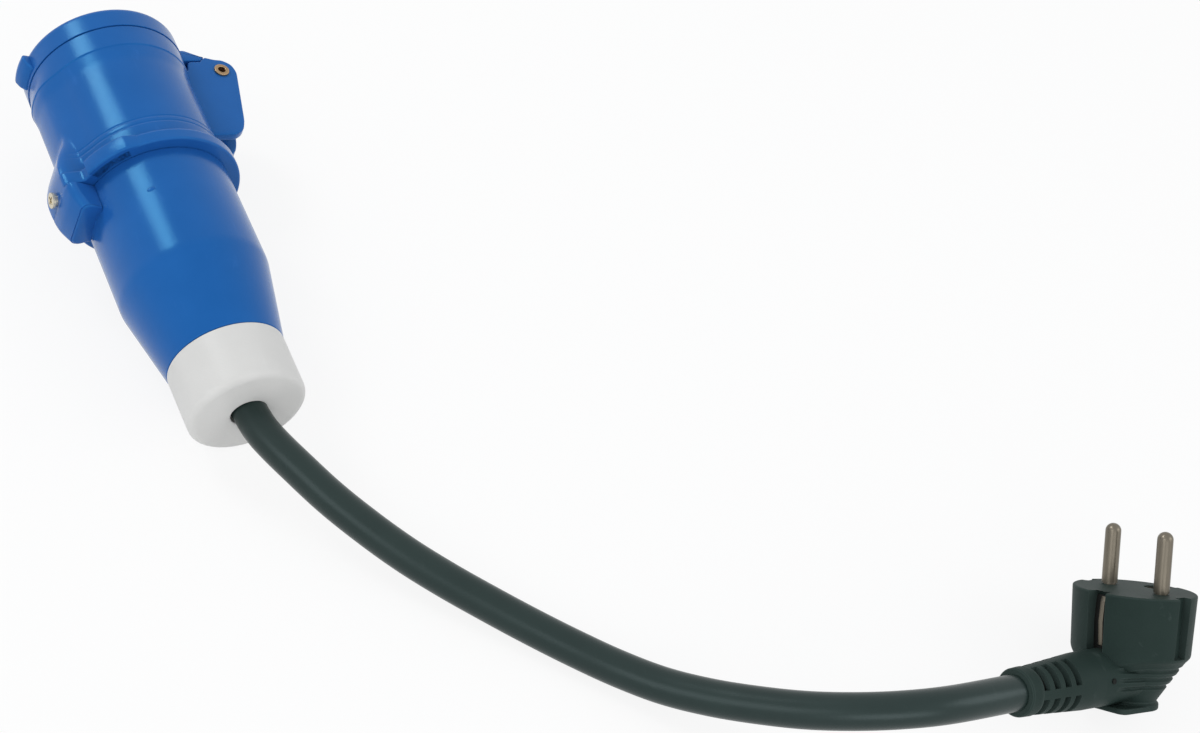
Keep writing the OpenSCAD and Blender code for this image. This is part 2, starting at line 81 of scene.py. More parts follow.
soft_lamp("lamp_behind", (-0.54, 0.77, 1.02), (0.0, 0.0, 0.03), (0.36, 0.44), 4.5)
soft_lamp("lamp_left", (-1.3, -0.5, 1.1), (0.05, -0.1, 0.02), (0.9, 0.9), 3.6)
soft_lamp("lamp_right", (1.1, -0.9, 1.0), (0.1, -0.1, 0.02), (0.8, 0.8), 3.4)
soft_lamp("lamp_front", (-0.25, -1.4, 0.6), (0.05, -0.15, 0.03), (0.9, 0.6), 3.2)

world = bpy.data.worlds.new("studio")
bpy.context.scene.world = world
world.use_nodes = True
sky = world.node_tree.nodes
sky.clear()
sky_link = world.node_tree.links.new
sky_out = sky.new("ShaderNodeOutputWorld")
sky_mix = sky.new("ShaderNodeMixShader")
sky_light = sky.new("ShaderNodeBackground")
sky_light.inputs["Color"].default_value = (0.96, 0.98, 1.0, 1)
sky_light.inputs["Strength"].default_value = 0.70
sky_white = sky.new("ShaderNodeBackground")
sky_white.inputs["Color"].default_value = (1, 1, 1, 1)


def seen_rays(nodes, link):
    """The output that is 1 for rays from the camera, rays off glossy surfaces and rays through clear ones."""
    rays = nodes.new("ShaderNodeLightPath")
    either = nodes.new("ShaderNodeMath")
    either.operation = "MAXIMUM"
    link(rays.outputs["Is Camera Ray"], either.inputs[0])
    link(rays.outputs["Is Glossy Ray"], either.inputs[1])
    any_of = nodes.new("ShaderNodeMath")
    any_of.operation = "MAXIMUM"
    link(either.outputs[0], any_of.inputs[0])
    link(rays.outputs["Is Transmission Ray"], any_of.inputs[1])
    return any_of.outputs[0]


sky_link(seen_rays(sky, sky_link), sky_mix.inputs["Fac"])
sky_link(sky_light.outputs[0], sky_mix.inputs[1])
sky_link(sky_white.outputs[0], sky_mix.inputs[2])
sky_link(sky_mix.outputs[0], sky_out.inputs["Surface"])

floor_mesh = bpy.data.meshes.new("floor")
floor_mesh.from_pydata([(-4, -4, 0), (4, -4, 0), (4, 4, 0), (-4, 4, 0)], [], [(0, 1, 2, 3)])
floor = bpy.data.objects.new("floor", floor_mesh)
bpy.context.scene.collection.objects.link(floor)
floor_paint = bpy.data.materials.new("white_table")
floor_paint.use_nodes = True
table = floor_paint.node_tree.nodes
table_link = floor_paint.node_tree.links.new
table.clear()
table_out = table.new("ShaderNodeOutputMaterial")
table_mix = table.new("ShaderNodeMixShader")
table_diffuse = table.new("ShaderNodeBsdfDiffuse")
table_diffuse.inputs["Color"].default_value = (0.86, 0.86, 0.86, 1)
table_white = table.new("ShaderNodeEmission")
table_white.inputs["Color"].default_value = (1, 1, 1, 1)
table_share = table.new("ShaderNodeMath")
table_share.operation = "MULTIPLY"
table_share.inputs[1].default_value = 0.86
table_link(seen_rays(table, table_link), table_share.inputs[0])
table_link(table_share.outputs[0], table_mix.inputs["Fac"])
table_link(table_diffuse.outputs[0], table_mix.inputs[1])
table_link(table_white.outputs[0], table_mix.inputs[2])
table_link(table_mix.outputs[0], table_out.inputs["Surface"])
floor_mesh.materials.append(floor_paint)


# Rubber cord
# A short stiff lead of three cores in a smooth black rubber sheath, 10.8 mm thick.
# It leaves the nut, droops to the table and rises again into the boot of the plug.

cord_d = 10.8

# The coupler lies on the back edge of its band and on the front end of the grip's taper.
coupler_pitch = math.atan2(27.9 - 24.0, 86.8 - 48.8)
coupler_roll = math.radians(9)
coupler_at = np.array([-5.1599, -73.7577, 18.8923])

# The plug leans over on the edge of its round base.
plug_len, base_r = 36.0, 9.5
plug_turn = np.radians([-21.0, -40.5, -79.5])
plug_up = math.cos(plug_turn[0]) * math.cos(plug_turn[1])
plug_rise = plug_len * plug_up + base_r * math.sqrt(1 - plug_up ** 2)
plug_at = np.array([coupler_at[0] + 227.2, coupler_at[1] - 154.1, plug_rise])


def turn(axis, angle):
    """The 3 by 3 matrix that turns points about one of the three axes."""
    c, s = math.cos(angle), math.sin(angle)
    a, b = [(1, 2), (2, 0), (0, 1)][axis]
    m = np.eye(3)
    m[a, a] = m[b, b] = c
    m[a, b], m[b, a] = -s, s
    return m


coupler_turned = turn(0, coupler_pitch - math.pi / 2) @ turn(2, coupler_roll)
plug_turned = turn(2, plug_turn[2]) @ turn(1, plug_turn[1]) @ turn(0, plug_turn[0])


def on_coupler(p):
    """Points of the coupler's own frame, z along its axis from the nut's back, in the shared frame."""
    return np.asarray(p, float) @ coupler_turned.T + coupler_at


def on_plug(p):
    """Points of the plug's own frame, z along its pins from its face, in the shared frame."""
    return np.asarray(p, float) @ plug_turned.T + plug_at


def smooth_path(points, per_span):
    """A curve through all the points: on each span the cubic whose slopes are half the chord between the
    neighbours of its ends."""
    p = np.asarray(points, float)
    p = np.vstack([2 * p[0] - p[1], p, 2 * p[-1] - p[-2]])
    t = np.linspace(0, 1, per_span, endpoint=False)[None, :, None]
    a, b, c, d = (p[i: len(p) - 3 + i, None, :] for i in range(4))
    bend, twist = 2 * a - 5 * b + 4 * c - d, 3 * b - a - 3 * c + d
    curve = 0.5 * (2 * b + (c - a) * t + bend * t ** 2 + twist * t ** 3)
    return np.vstack([curve.reshape(-1, 3), p[-2]])


def around(path, radius, sides, up=(0, 0, 1)):
    """A round tube as a grid of rows by sides: at each point of the path a ring square to it."""
    t = np.gradient(path, axis=0)
    t /= np.linalg.norm(t, axis=1, keepdims=True)
    s = np.cross(t, np.asarray(up, float))
    s /= np.linalg.norm(s, axis=1, keepdims=True)
    u = np.cross(s, t)
    a = np.linspace(0, 2 * np.pi, sides, endpoint=False)
    r = np.broadcast_to(np.asarray(radius, float), (len(path),))[:, None, None]
    ring = np.cos(a)[None, :, None] * s[:, None] + np.sin(a)[None, :, None] * u[:, None]
    return path[:, None] + r * ring


def skin(points, loop_rows=False, capped=True):
    """Quads between the neighbours of a grid that is closed around its columns; ends capped or joined."""
    rows, cols = points.shape[:2]
    i, j = np.meshgrid(np.arange(rows if loop_rows else rows - 1), np.arange(cols), indexing="ij")
    i2, j2 = (i + 1) % rows, (j + 1) % cols
    quads = np.stack([i * cols + j, i * cols + j2, i2 * cols + j2, i2 * cols + j], axis=-1)
    quads = quads.reshape(-1, 4).tolist()
    if capped and not loop_rows:
        quads.append(list(range(cols))[::-1])
        quads.append(list(range((rows - 1) * cols, rows * cols)))
    return points.reshape(-1, 3), quads


def make_piece(name, parts, body, paint, stands_for=()):
    """One object from closed skins in millimetres, with its faces turned outwards, riding on a body. Its edge
    attribute is 1 less the length of the mean of the normals round a corner, scaled up: 0 on a flat and 1 on
    a ridge."""
    points = np.vstack([p for p, f in parts]) * 0.001
    starts = np.cumsum([0] + [len(p) for p, f in parts])
    faces = [[c + starts[k] for c in face] for k, (p, f) in enumerate(parts) for face in f]
    mesh = bpy.data.meshes.new(name)
    mesh.from_pydata(points.tolist(), [], faces)
    work = bmesh.new()
    work.from_mesh(mesh)
    bmesh.ops.remove_doubles(work, verts=work.verts, dist=1e-7)
    bmesh.ops.recalc_face_normals(work, faces=work.faces)
    work.to_mesh(mesh)
    work.free()
    corners = np.empty(len(mesh.loops), int)
    sides = np.empty(len(mesh.polygons), int)
    flats = np.empty(len(mesh.polygons) * 3)
    mesh.loops.foreach_get("vertex_index", corners)
    mesh.polygons.foreach_get("loop_total", sides)
    mesh.polygons.foreach_get("normal", flats)
    flats = np.repeat(flats.reshape(-1, 3), sides, axis=0)
    leans = np.zeros((len(mesh.vertices), 3))
    np.add.at(leans, corners, flats)
    touches = np.bincount(corners, minlength=len(mesh.vertices))
    bent = 1 - np.linalg.norm(leans, axis=1) / np.maximum(touches, 1)
    edge = mesh.attributes.new("edge", "FLOAT", "POINT")
    edge.data.foreach_set("value", np.clip(bent * 45, 0, 1).astype(np.float32))
    mesh.shade_smooth()
    mesh.set_sharp_from_angle(angle=math.radians(40))
    mesh.materials.append(paint)
    obj = bpy.data.objects.new(name, mesh)
    bpy.context.scene.collection.objects.link(obj)
    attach(obj, body)
    if stands_for:
        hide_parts(*stands_for)
    return obj


def surface_group():
    """Node group: the slow mottle, fine grain and scattered scuffs of a moulded surface."""
    group = bpy.data.node_groups.new("moulded_surface", "ShaderNodeTree")
    face = group.interface
    for label, value in (("Mottle Scale", 60.0), ("Grain Scale", 1500.0), ("Scuff Scale", 220.0)):
        face.new_socket(label, in_out="INPUT", socket_type="NodeSocketFloat").default_value = value
    for label in ("Mottle", "Grain", "Scuff"):
        face.new_socket(label, in_out="OUTPUT", socket_type="NodeSocketFloat")
    n, link = group.nodes, group.links.new
    given, put = n.new("NodeGroupInput"), n.new("NodeGroupOutput")
    where = n.new("ShaderNodeTexCoord")
    mottle, grain, scuff = (n.new("ShaderNodeTexNoise") for _ in range(3))
    stretch = n.new("ShaderNodeMapping")
    stretch.inputs["Scale"].default_value = (1.0, 0.22, 1.0)
    for tex, detail, rough in ((mottle, 4, 0.55), (grain, 2, 0.5), (scuff, 5, 0.65)):
        tex.inputs["Detail"].default_value = detail
        tex.inputs["Roughness"].default_value = rough
    link(where.outputs["Object"], mottle.inputs["Vector"])
    link(where.outputs["Object"], grain.inputs["Vector"])
    link(where.outputs["Object"], stretch.inputs["Vector"])
    link(stretch.outputs["Vector"], scuff.inputs["Vector"])
    link(given.outputs["Mottle Scale"], mottle.inputs["Scale"])
    link(given.outputs["Grain Scale"], grain.inputs["Scale"])
    link(given.outputs["Scuff Scale"], scuff.inputs["Scale"])
    keep = n.new("ShaderNodeMapRange")
    keep.inputs["From Min"].default_value = 0.62
    keep.inputs["From Max"].default_value = 0.78
    link(scuff.outputs["Fac"], keep.inputs["Value"])
    link(mottle.outputs["Fac"], put.inputs["Mottle"])
    link(grain.outputs["Fac"], put.inputs["Grain"])
    link(keep.outputs["Result"], put.inputs["Scuff"])
    return group


moulded_surface = surface_group()


def moulded(name, dark, pale, rough, grain_height, scuffed=0.0, metallic=0.0, scales=(60.0, 1500.0, 220.0),
            shine=(0.32, (1.0, 1.0, 1.0))):
    """A material whose colour drifts between two tones, with gloss and grain from the moulded surface. Scuffs
    and ridges are paler and duller; shine is the strength and the tint of its reflection."""
    paint = bpy.data.materials.new(name)
    paint.use_nodes = True
    n, link = paint.node_tree.nodes, paint.node_tree.links.new
    shader = n["Principled BSDF"]
    shader.inputs["Metallic"].default_value = metallic
    shader.inputs["Specular IOR Level"].default_value = 0.5 if metallic else shine[0]
    shader.inputs["Specular Tint"].default_value = (*shine[1], 1)
    look = n.new("ShaderNodeGroup")
    look.node_tree = moulded_surface
    for socket, value in zip(("Mottle Scale", "Grain Scale", "Scuff Scale"), scales):
        look.inputs[socket].default_value = value
    tone = n.new("ShaderNodeMix")
    tone.data_type = "RGBA"
    tone.inputs["A"].default_value = (*dark, 1)
    tone.inputs["B"].default_value = (*pale, 1)
    link(look.outputs["Mottle"], tone.inputs["Factor"])
    worn = n.new("ShaderNodeMix")
    worn.data_type = "RGBA"
    worn.inputs["B"].default_value = (*[min(1.0, c * 1.35 + 0.03) for c in pale], 1)
    share = n.new("ShaderNodeMath")
    share.operation = "MULTIPLY"
    share.inputs[1].default_value = scuffed
    ridge = n.new("ShaderNodeAttribute")
    ridge.attribute_name = "edge"
    rub = n.new("ShaderNodeMath")
    rub.operation = "MULTIPLY"
    link(ridge.outputs["Fac"], rub.inputs[0])
    link(look.outputs["Mottle"], rub.inputs[1])
    marks = n.new("ShaderNodeMath")
    marks.operation = "MAXIMUM"
    link(look.outputs["Scuff"], marks.inputs[0])
    link(rub.outputs[0], marks.inputs[1])
    link(marks.outputs[0], share.inputs[0])
    link(share.outputs[0], worn.inputs["Factor"])
    link(tone.outputs["Result"], worn.inputs["A"])
    link(worn.outputs["Result"], shader.inputs["Base Color"])
    gloss = n.new("ShaderNodeMapRange")
    gloss.inputs["To Min"].default_value = rough[0]
    gloss.inputs["To Max"].default_value = rough[1]
    link(look.outputs["Mottle"], gloss.inputs["Value"])
    dull = n.new("ShaderNodeMath")
    dull.operation = "MULTIPLY_ADD"
    dull.inputs[1].default_value = 0.25
    link(share.outputs[0], dull.inputs[0])
    link(gloss.outputs["Result"], dull.inputs[2])
    link(dull.outputs[0], shader.inputs["Roughness"])
    bump = n.new("ShaderNodeBump")
    bump.inputs["Strength"].default_value = 1.0
    bump.inputs["Distance"].default_value = grain_height
    link(look.outputs["Grain"], bump.inputs["Height"])
    link(bump.outputs["Normal"], shader.inputs["Normal"])
    return paint


cord_rubber = moulded("cord_rubber", (0.006, 0.014, 0.012), (0.013, 0.025, 0.022), (0.27, 0.36), 0.00003,
                      0.25, shine=(0.4, (0.8, 0.97, 1.0)))
# Dark dull rubber for the seals, also used as painted shade on the cord inside the boot and in the hole on
# the plug's shoulder.
seal_and_shade_rubber = moulded("seal_and_shade_rubber", (0.004, 0.006, 0.005), (0.008, 0.010, 0.009), (0.6, 0.75), 0.00005,
                      shine=(0.15, (1.0, 1.0, 1.0)))

boot_root = np.array([0.0, -12.0, -26.0])
boot_end = np.array([0.0, -53.0, -27.7])
boot_len = np.linalg.norm(boot_end - boot_root)
cord_bends = np.array([
    (1.5, -6.5, 18.1), (3.5, -12.7, 17.4), (6.8, -20.6, 16.4), (13, -33.6, 14.2), (20.2, -45.7, 11.9),
    (28.1, -57.2, 9.6), (36.7, -68.2, 7.7), (45.7, -79.1, 6.3), (54.5, -90, 5.6), (63.3, -101, 5.6),
    (72.4, -111.8, 5.9), (81.4, -122.6, 8), (90.7, -132.6, 11.8), (100.2, -141.8, 16.5), (110, -150.2, 21.3),
    (120.7, -157.3, 25.6), (132.8, -163, 28.6), (146.9, -167, 29.7)])
cord_bends[:, :2] += coupler_at[:2]
cord_exit = on_coupler([0, 0, 0]) + [0.5, 0, 0]
cord_line = smooth_path(np.vstack([
    on_coupler([[0, 0, 28], [0, 0, 14], [0, 0, 6]]), cord_exit, cord_bends, on_plug(boot_end),
    on_plug(boot_end + (boot_root - boot_end) * 26 / boot_len)]), 12)
free_line = cord_line[:-9]
cord = make_piece("cord", [skin(around(free_line, cord_d / 2, 40))], "coupler", cord_rubber,
                  ["cable"])

# The stretch inside the boot shows only through its slots: it is painted darker and duller, in the seal
# rubber without scuffs, as shade.
shaded_boot_cord = make_piece("cord_in_boot_shade", [skin(around(cord_line[-10:], cord_d / 2, 40))], "coupler",
                       seal_and_shade_rubber, ["cable"])

# The last of the sheath lies in the grip, under the clamp, and is cut square where the cores come out.
sheath_line = on_coupler(np.column_stack([np.zeros(12), np.zeros(12), np.linspace(28, 66, 12)]))
sheath_end = make_piece("cord_sheath_end", [skin(around(sheath_line, cord_d / 2, 40))], "coupler",
                        cord_rubber, ["cable"])


# Gland nut, washer and seal
# A white moulded nut that screws over the neck of the grip and squeezes a rubber ring round the cord.
# Its back edge is rounded and its back is flat with a hole for the cord.

nut_white = moulded("nut_white", (0.61, 0.605, 0.59), (0.69, 0.685, 0.67), (0.34, 0.46), 0.00003, 0.15)


def rounded(corners, steps=6, closed=True):
    """An outline with its corners eased: each corner (a, b, reach) becomes the parabola between the points
    that lie that far along its two edges, with one more point just outside to keep the flats flat."""
    c = np.asarray(corners, float)
    p, reach = c[:, :2], np.maximum(c[:, 2], 0.02)
    before, after = np.roll(p, 1, axis=0) - p, np.roll(p, -1, axis=0) - p
    lb, la = (np.linalg.norm(v, axis=1) for v in (before, after))
    reach = np.minimum(reach, 0.42 * np.minimum(lb, la))[:, None]
    u, v = before / lb[:, None], after / la[:, None]
    a, b = p + u * reach, p + v * reach
    t = np.linspace(0, 1, steps)[None, :, None]
    arc = (1 - t) ** 2 * a[:, None] + 2 * t * (1 - t) * p[:, None] + t ** 2 * b[:, None]
    flat = np.minimum(0.25, 0.05 * np.minimum(lb, la))[:, None]
    full = np.concatenate([(a + u * flat)[:, None], arc, (b + v * flat)[:, None]], axis=1)
    if closed:
        return full.reshape(-1, 2)
    return np.vstack([p[:1], full[1:-1].reshape(-1, 2), p[-1:]])


def turned(profile, columns=192, place=on_coupler, closed=True):
    """A turned part: the profile's radius r and height z carried round, x = r cos a, y = r sin a."""
    a = np.linspace(0, 2 * np.pi, columns, endpoint=False)
    r, z = profile[:, :1], profile[:, 1:]
    grid = np.stack([r * np.cos(a), r * np.sin(a), z + 0 * a], axis=-1)
    return skin(place(grid), loop_rows=closed, capped=not closed)


def paint_node(name, paint):
    """Gives one of the nodes that are shown as they are a material in place of its plain one."""
    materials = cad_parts[name].data.materials
    materials.clear()
    materials.append(paint)


nut_profile = rounded([
    (5.6, 0, 0.5), (18.5, 0, 2.2), (18.6, 19.9, 0.3), (15.5, 19.9, 0.3), (15.5, 2.8, 0.3), (5.6, 2.8, 0.3)])
make_piece("gland_nut_skin", [turned(nut_profile)], "coupler", nut_white, ["gland_nut"])
paint_node("gland_washer", nut_white)
paint_node("gland_seal", seal_and_shade_rubber)


# Grip
# A hollow tapered handle, injection moulded in blue with a gloss finish, with a neck that the nut goes over.
# Its front end is a spigot inside the shell, and a bridge across its inside carries the cord clamp.

shell_blue = moulded("shell_blue", (0.010, 0.085, 0.32), (0.016, 0.112, 0.395), (0.17, 0.25), 0.000012, 0.2,
                     shine=(0.34, (0.12, 0.72, 1.0)))


def slab(outline, low, high, ease=0.5, steps=5, place=on_coupler, lay=(0, 2, 1), hole=None):
    """A plate: a closed outline in two axes between two values of the third, with its rims eased. Their rows
    step in from the outline along its normals by ease (1 - sin q) at depth ease (1 - cos q). A hole is a
    middle and a radius: the flat faces then run from just inside the rim to a ring round it."""
    p = np.asarray(outline, float)
    t = np.roll(p, -1, axis=0) - np.roll(p, 1, axis=0)
    t /= np.linalg.norm(t, axis=1, keepdims=True)
    inward = np.column_stack([-t[:, 1], t[:, 0]])
    area = np.sum(p[:, 0] * np.roll(p[:, 1], -1) - p[:, 1] * np.roll(p[:, 0], -1))
    inward *= np.sign(area)
    q = np.linspace(0, np.pi / 2, steps)
    inset = np.concatenate([ease * (1 - np.sin(q)), ease * (1 - np.sin(q[::-1]))])
    level = np.concatenate([low + ease * (1 - np.cos(q)), high - ease * (1 - np.cos(q[::-1]))])
    flat = p[None] + inset[:, None, None] * inward[None]
    if hole:
        ray = (p - hole[0]) / np.linalg.norm(p - hole[0], axis=1, keepdims=True)
        ring = hole[0] + hole[1] * ray
        wider = ring + 0.5 * ray
        inside = flat[0] + 0.05 * (ring - flat[0])
        flat = np.concatenate([[ring, wider, inside], flat, [inside, wider, ring]])
        level = np.concatenate([[low] * 3, level, [high] * 3])
    grid = np.empty((len(level), len(p), 3))
    grid[..., lay[0]], grid[..., lay[1]] = flat[..., 0], flat[..., 1]
    grid[..., lay[2]] = level[:, None]
    return skin(place(grid), loop_rows=hole is not None)


def arc_points(radius, first, last, count):
    """Points on a circle about the axis, from one angle to another in degrees."""
    a = np.linspace(np.radians(first), np.radians(last), count)
    return np.column_stack([radius * np.cos(a), radius * np.sin(a)])


bridge = np.vstack([
    arc_points(21.6, -135, -45, 24), [(15, -1)], arc_points(5.6, -10, -170, 16), [(-15, -1)]])
screw_block = rounded([(-21.8, -4, 0.2), (-16.4, -4, 0.8), (-16.4, 4, 0.8), (-21.8, 4, 0.2)])
grip_profile = rounded([
    (15.3, 6, 0.5), (15.3, 20.1, 0.2), (18.6, 20.1, 0.3), (24, 48.8, 1.5), (24, 86.7, 0.3),
    (23.4, 86.7, 0.2), (23.4, 96.2, 0.4), (21.5, 96.2, 0.3), (21.5, 48.8, 2.0), (16.1, 23.8, 1.0),
    (6.5, 23.8, 0.3), (6.5, 16, 0.2), (10, 16, 0.2), (10, 6, 0.4)])
nib_angle, nib_z = -119, 72.5


def on_grip_side(p):
    """The nib on the grip's side: its z points outwards and its x, stretched 1.9 times, runs round."""
    q = np.asarray(p, float)
    a = np.radians(nib_angle) + q[..., 0] * 1.9 / 24
    r = 23.95 + q[..., 2]
    return on_coupler(np.stack([r * np.cos(a), r * np.sin(a), nib_z + q[..., 1]], axis=-1))


gate_nib = np.array([(0.02, 0.42), (0.3, 0.4), (0.55, 0.3), (0.7, 0.12), (0.75, -0.2), (0.02, -0.2)])
make_piece("grip", [
    turned(grip_profile),
    slab(bridge, 54, 62, 0.4, lay=(0, 1, 2)),
    slab(screw_block, 83.8, 93.8, 0.3, lay=(0, 1, 2)),
    turned(gate_nib, 24, on_grip_side, closed=False),
    ], "coupler", shell_blue, ["handle"])


# Cord clamp and cores
# A dark saddle and two plated screws hold the sheath to the bridge in the grip.
# Three insulated cores fan out from the end of the sheath to the terminals.

insert_dark = moulded("insert_dark", (0.018, 0.02, 0.022), (0.03, 0.033, 0.036), (0.4, 0.55), 0.00003)
plated_steel = moulded("plated_steel", (0.55, 0.50, 0.38), (0.72, 0.66, 0.52), (0.24, 0.4), 0.00002, 0.3,
                       metallic=1.0)
core_brown = moulded("core_brown", (0.09, 0.032, 0.012), (0.14, 0.05, 0.02), (0.4, 0.5), 0.00002)
core_blue = moulded("core_blue", (0.012, 0.06, 0.3), (0.02, 0.09, 0.4), (0.4, 0.5), 0.00002)
core_green = moulded("core_green", (0.12, 0.3, 0.02), (0.6, 0.55, 0.03), (0.4, 0.5), 0.00002,
                     scales=(400.0, 1500.0, 220.0))
for node, paint in (("cord_clamp", insert_dark), ("clamp_screws", plated_steel), ("line_core", core_brown),
                    ("neutral_core", core_blue), ("earth_core", core_green)):
    paint_node(node, paint)


# Contact insert and contacts
# A dark moulded block between the grip and the shell, in three parts.
# It holds three slit brass sleeves and their terminal screws.

contact_brass = moulded("contact_brass", (0.62, 0.42, 0.14), (0.78, 0.56, 0.22), (0.22, 0.36), 0.00001, 0.3,
                        metallic=1.0)
for pole in ("line", "neutral", "earth"):
    paint_node("insert_" + pole, insert_dark)
    paint_node(pole + "_contact", contact_brass)
paint_node("terminal_screws", plated_steel)


# Front shell
# The blue collar that takes the mating shroud: a band at its back, a lip at its rim and a swelling over the
# keyway that ends in a lug over the grip. Two ears carry the lid. The screw in the lug holds it to the grip.

# Columns lie closer together at the walls of the keyway.
shell_angles = np.unique(np.concatenate([
    np.linspace(0, 360, 240, endpoint=False), [171.8, 172.0, 188.0, 188.2]]))
shell_a = np.radians(shell_angles)


def finer(profile, step):
    """The same profile with each long straight run split into even steps no longer than this."""
    runs = np.linalg.norm(np.diff(profile, axis=0), axis=1)
    counts = np.maximum(1, np.ceil(runs / step)).astype(int)
    start = np.repeat(np.arange(len(runs)), counts)
    place = np.arange(counts.sum()) - np.repeat(np.cumsum(counts) - counts, counts)
    share = (place / np.repeat(counts, counts))[:, None]
    return np.vstack([profile[start] + share * (profile[start + 1] - profile[start]), profile[-1:]])


bore_r, keyway_r = 22.8, 24.9
shell_outline = rounded([
    (23.6, 86.8, 0.2), (23.6, 99.3, 0.2), (bore_r, 99.3, 0.2), (bore_r, 101.5, 0.02), (bore_r, 139.2, 0.5),
    (25.95, 139.2, 0.25), (25.8, 131.3, 0.15), (25.5, 130.9, 0.3), (25, 126, 1.5), (25, 100.1, 0.1),
    (24.8, 99.6, 0.25), (25, 99.1, 0.1), (25, 98.1, 0.1), (24.8, 97.6, 0.25), (25, 97.1, 0.1),
    (25, 91.4, 0.6), (27.9, 91.4, 1.0), (27.9, 86.8, 0.7)], 5)
shell_profile = finer(np.vstack([shell_outline, shell_outline[:1]]), 2.0)[:-1]
shell_z = shell_profile[:, 1:]
off_keyway = np.abs(shell_angles - 180)[None, :]
in_keyway = (off_keyway < 8.1) & (np.abs(shell_profile[:, :1] - bore_r) < 0.45) & (shell_z > 101.6)
shell_r = np.where(in_keyway, keyway_r + shell_profile[:, :1] - bore_r, shell_profile[:, :1])

# Over the keyway the collar swells by 1.9 mm, and behind that it climbs to the flat top of the lug.
# Both fade out round the axis. The lug's line is given as heights z and radii.
lug_line = smooth_path([
    (77.0, 30.3, 0), (80, 31.6, 0), (83.3, 32.7, 0), (88.8, 33.3, 0), (94.8, 32.9, 0), (100.8, 30.6, 0),
    (104.5, 28.3, 0), (107.4, 27.0, 0), (110, 26.6, 0)], 5)


def eased(t):
    """0 below 0, 1 above 1 and t t (3 - 2 t) between them."""
    t = np.clip(t, 0, 1)
    return t * t * (3 - 2 * t)


lug_flat = 13.4
off_lug = np.abs(shell_angles - 181.8)[None, :]
swell_along = eased((shell_z - 91.6) / 4) * eased((139 - shell_z) / 10)
lug_r = np.interp(shell_z, lug_line[:, 0], lug_line[:, 1], right=25)
lug_r = lug_r * np.cos(np.radians(lug_flat)) / np.cos(np.radians(np.minimum(off_lug, lug_flat)))
lug_rise = np.maximum(lug_r - shell_profile[:, :1], 0) * eased((21.5 - off_lug) / 8)
swell_r = np.maximum(1.9 * eased((34 - off_keyway) / 24) * swell_along, lug_rise)
shell_r = shell_r + np.where(shell_profile[:, :1] > 24.3, swell_r, 0)
shell_grid = np.stack([shell_r * np.cos(shell_a), shell_r * np.sin(shell_a), shell_z + 0 * shell_a], axis=-1)


def raised(station, middle, half, low, high, ease, end_ease, to_place, steps=6):
    """A raised bar: at each station along it a rectangle, half wide and from low to high, with its two top
    edges eased by quarter circles of radius ease; the end stations step in by those of radius end_ease."""
    s, m, h, lo, hi = (np.broadcast_to(np.asarray(v, float), (len(station),))
                       for v in (station, middle, half, low, high))
    q = np.linspace(0, np.pi / 2, steps)
    ends = end_ease * (1 - np.cos(q[::-1]))
    inset = end_ease * (1 - np.sin(q[::-1]))
    along = np.concatenate([s[0] + ends[::-1], s[1:-1], s[-1] - ends])
    step_in = np.concatenate([inset[::-1], np.zeros(len(s) - 2), inset])
    m, h, lo, hi = (np.concatenate([np.full(steps, v[0]), v[1:-1], np.full(steps, v[-1])])
                    for v in (m, h, lo, hi))
    h, hi = h - step_in, hi - step_in
    across = np.repeat([-1.0, 1.0], steps + 1)
    side = np.concatenate([[0.0], 1 - np.cos(q), (1 - np.cos(q))[::-1], [0.0]])
    rise = np.concatenate([[-1.0], np.sin(q), np.sin(q)[::-1], [-1.0]])
    x = m[:, None] + across[None] * (h[:, None] - ease * side[None])
    y = np.where(rise[None] < 0, lo[:, None], hi[:, None] - ease * (1 - rise[None]))
    return skin(to_place(along[:, None] + 0 * x, x, y))


def along_axis(z, across, r):
    """Station is the height z along the axis; across it runs the arc length at a radius of 26 mm."""
    a = np.pi + across / 26.0
    return on_coupler(np.stack([r * np.cos(a), r * np.sin(a), z], axis=-1))


bar_parts = 28.0


def round_axis(a, z, r):
    """Station is bar_parts times the angle round the axis in degrees; across it runs the height z."""
    a = np.radians(a / bar_parts)
    return on_coupler(np.stack([r * np.cos(a), r * np.sin(a), z], axis=-1))


lug_box = lug_line[lug_line[:, 0] < 92]
lug_half = np.interp(lug_box[:, 0], [86.4, 90], [8.5, 4.2])
lug_foot = np.where(lug_box[:, 0] < 86.9, 24.25, 24.4)
lug_top = lug_box[:, 1] - np.clip((lug_box[:, 0] - 86.4) / 3, 0, 1)
lug = raised(lug_box[:, 0], 0.8, lug_half, lug_foot, lug_top, 2.4, 0.7, along_axis)
bar_a = np.linspace(-152, -112, 40)
bar_fade = np.clip((bar_a + 122) / 9, 0, 1)
band_bar = raised(bar_a * bar_parts, 89.55 - 0.55 * bar_fade, 2.75 - 0.6 * bar_fade, 24.6,
                  28.9 - 1.15 * bar_fade, 0.7, 0.7, round_axis)

ear_shape = rounded([
    (22.9, 107.4, 1.4), (33.6, 107.4, 2.0), (36.6, 109.4, 2.2), (38.3, 113.3, 1.8), (43.8, 136.6, 1.8),
    (43.0, 140.3, 1.8), (40.2, 142.4, 1.8), (37.6, 142.7, 1.0), (34.4, 143.85, 0.5), (33.08, 142.9, 0.4),
    (32.07, 141.8, 0.1), (27.6, 141.8, 1.4), (26.3, 137.6, 0.8), (22.9, 137.0, 1.4)])
hinge_middle = np.array([38.3, 137.1])
pin_hole = (hinge_middle, 1.72)
ears = [slab(ear_shape, low, low + 3.0, 0.4, hole=pin_hole) for low in (3.8, -6.8)]
make_piece("front_shell_skin", [skin(on_coupler(shell_grid), loop_rows=True), lug, band_bar] + ears,
           "coupler", shell_blue, ["front_shell"])
paint_node("shell_screw", plated_steel)


# Lid and gasket
# A blue cap with a rounded edge and a thumb tab, moulded with the arm that swings on the hinge pin.
# A rubber ring in its underside meets the rim of the shell.

